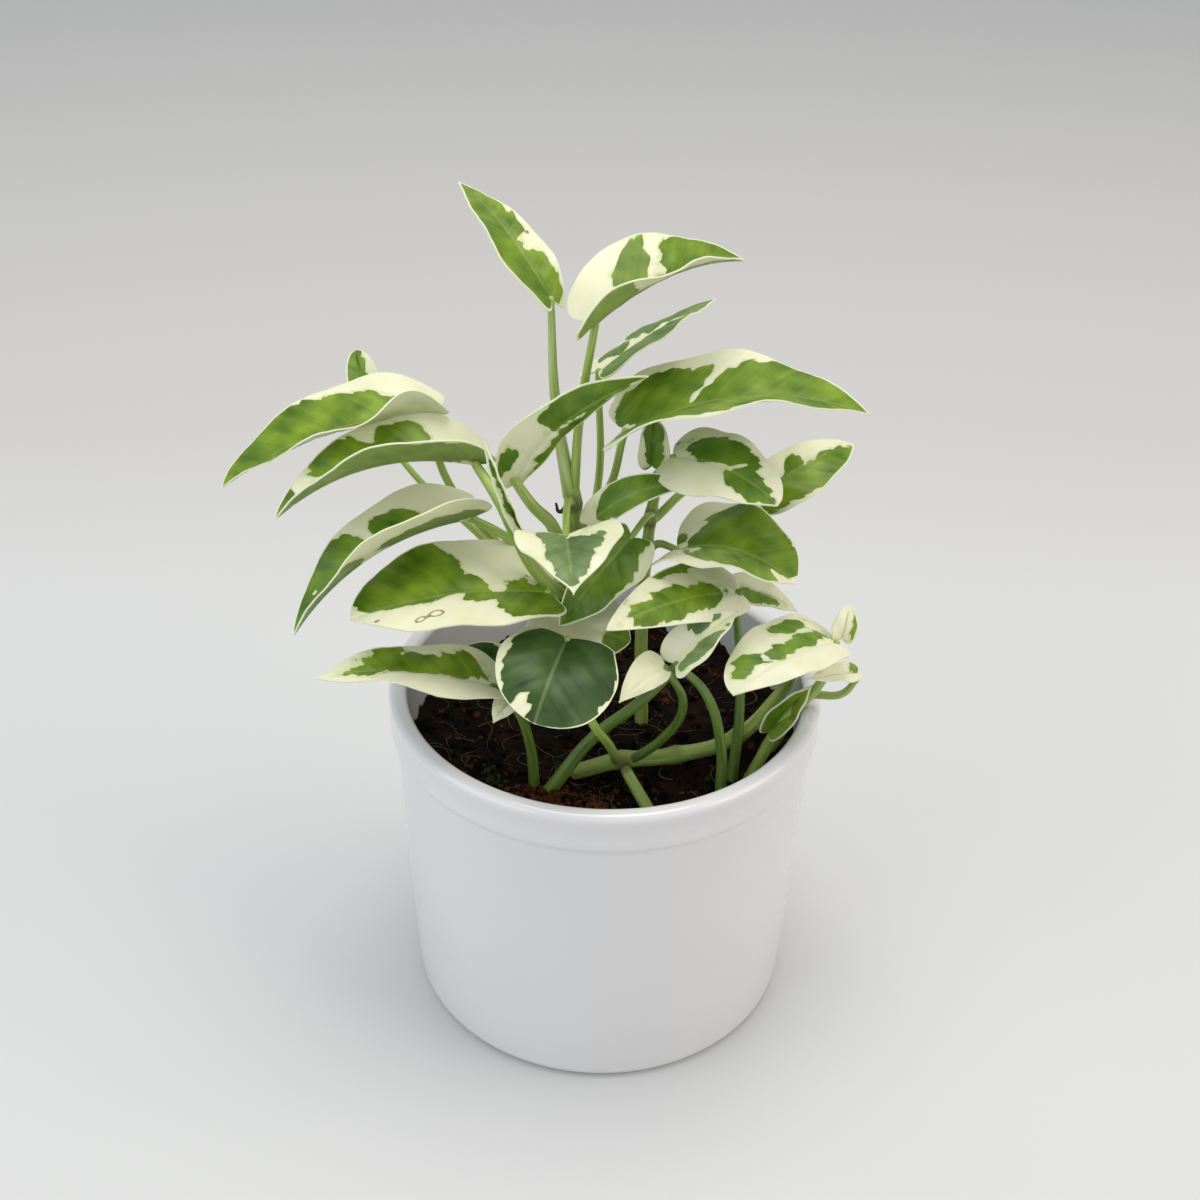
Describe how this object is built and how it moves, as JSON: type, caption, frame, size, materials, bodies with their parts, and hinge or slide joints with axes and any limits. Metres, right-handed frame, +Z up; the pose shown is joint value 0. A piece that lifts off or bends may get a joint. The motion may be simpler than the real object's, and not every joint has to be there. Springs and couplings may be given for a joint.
{
  "type": "potted plant",
  "caption": "Variegated pothos with cream and green leaves on arching stems, rooted in a straight-sided white glazed pot.",
  "frame": {"origin": "centre of the pot's flat base, where it stands", "axes": "+Z up along the pot's axis, towards the leaves; +X to the plant's right and -Y towards the side it is seen from"},
  "size_m": [0.1895, 0.135, 0.2581],
  "materials": {
    "glaze": "white satin glaze",
    "soil": "loose dark potting mix of bark, peat and coir",
    "stem": "smooth pale green stem with a soft sheen",
    "leaf_mostly_green": "smooth satin leaf, variegated green and cream",
    "leaf_mixed": "smooth satin leaf, variegated green and cream",
    "leaf_mostly_cream": "smooth satin leaf, variegated green and cream"
  },
  "bodies": {
    "root": {"leaf_arching_back": "leaf_mixed", "leaf_back_right": "leaf_mostly_green", "leaf_back_small": "leaf_mostly_green", "leaf_centre_low": "leaf_mostly_green", "leaf_crown_left": "leaf_mixed", "leaf_crown_right": "leaf_mixed", "leaf_front": "leaf_mostly_green", "leaf_front_under": "leaf_mostly_cream", "leaf_heart": "leaf_mixed", "leaf_inner_left": "leaf_mostly_green", "leaf_left_far": "leaf_mixed", "leaf_left_front": "leaf_mixed", "leaf_left_second": "leaf_mixed", "leaf_left_third": "leaf_mixed", "leaf_right_broad": "leaf_mostly_green", "leaf_right_curl": "leaf_mostly_cream", "leaf_right_curled": "leaf_mixed", "leaf_right_edge": "leaf_mostly_cream", "leaf_right_front": "leaf_mixed", "leaf_right_large": "leaf_mixed", "leaf_right_up": "leaf_mixed", "leaf_rim_left": "leaf_mixed", "leaf_rolled": "stem", "leaf_shaded": "leaf_mostly_green", "leaf_small_white": "leaf_mostly_cream", "leaf_spear": "stem", "leaf_upper_back": "leaf_mostly_green", "leaf_upper_middle": "leaf_mixed", "leaf_white_left": "leaf_mostly_cream", "leaf_white_right": "leaf_mostly_cream", "leaf_young_lobe": "leaf_mostly_green", "petiole_back_right": "stem", "petiole_back_small": "stem", "petiole_centre_low": "stem", "petiole_crown_left": "stem", "petiole_crown_right": "stem", "petiole_front": "stem", "petiole_heart": "stem", "petiole_left_far": "stem", "petiole_left_front": "stem", "petiole_left_second": "stem", "petiole_left_third": "stem", "petiole_right_broad": "stem", "petiole_right_curled": "stem", "petiole_right_edge": "stem", "petiole_right_front": "stem", "petiole_right_large": "stem", "petiole_right_up": "stem", "petiole_rim_left": "stem", "petiole_shaded": "stem", "petiole_upper_back": "stem", "petiole_white_left": "stem", "petiole_white_right": "stem", "pot": "glaze", "soil": "soil", "stub_front": "stem", "vine_back": "stem", "vine_centre": "stem", "vine_left": "stem", "vine_right": "stem"}
  },
  "joints": []
}
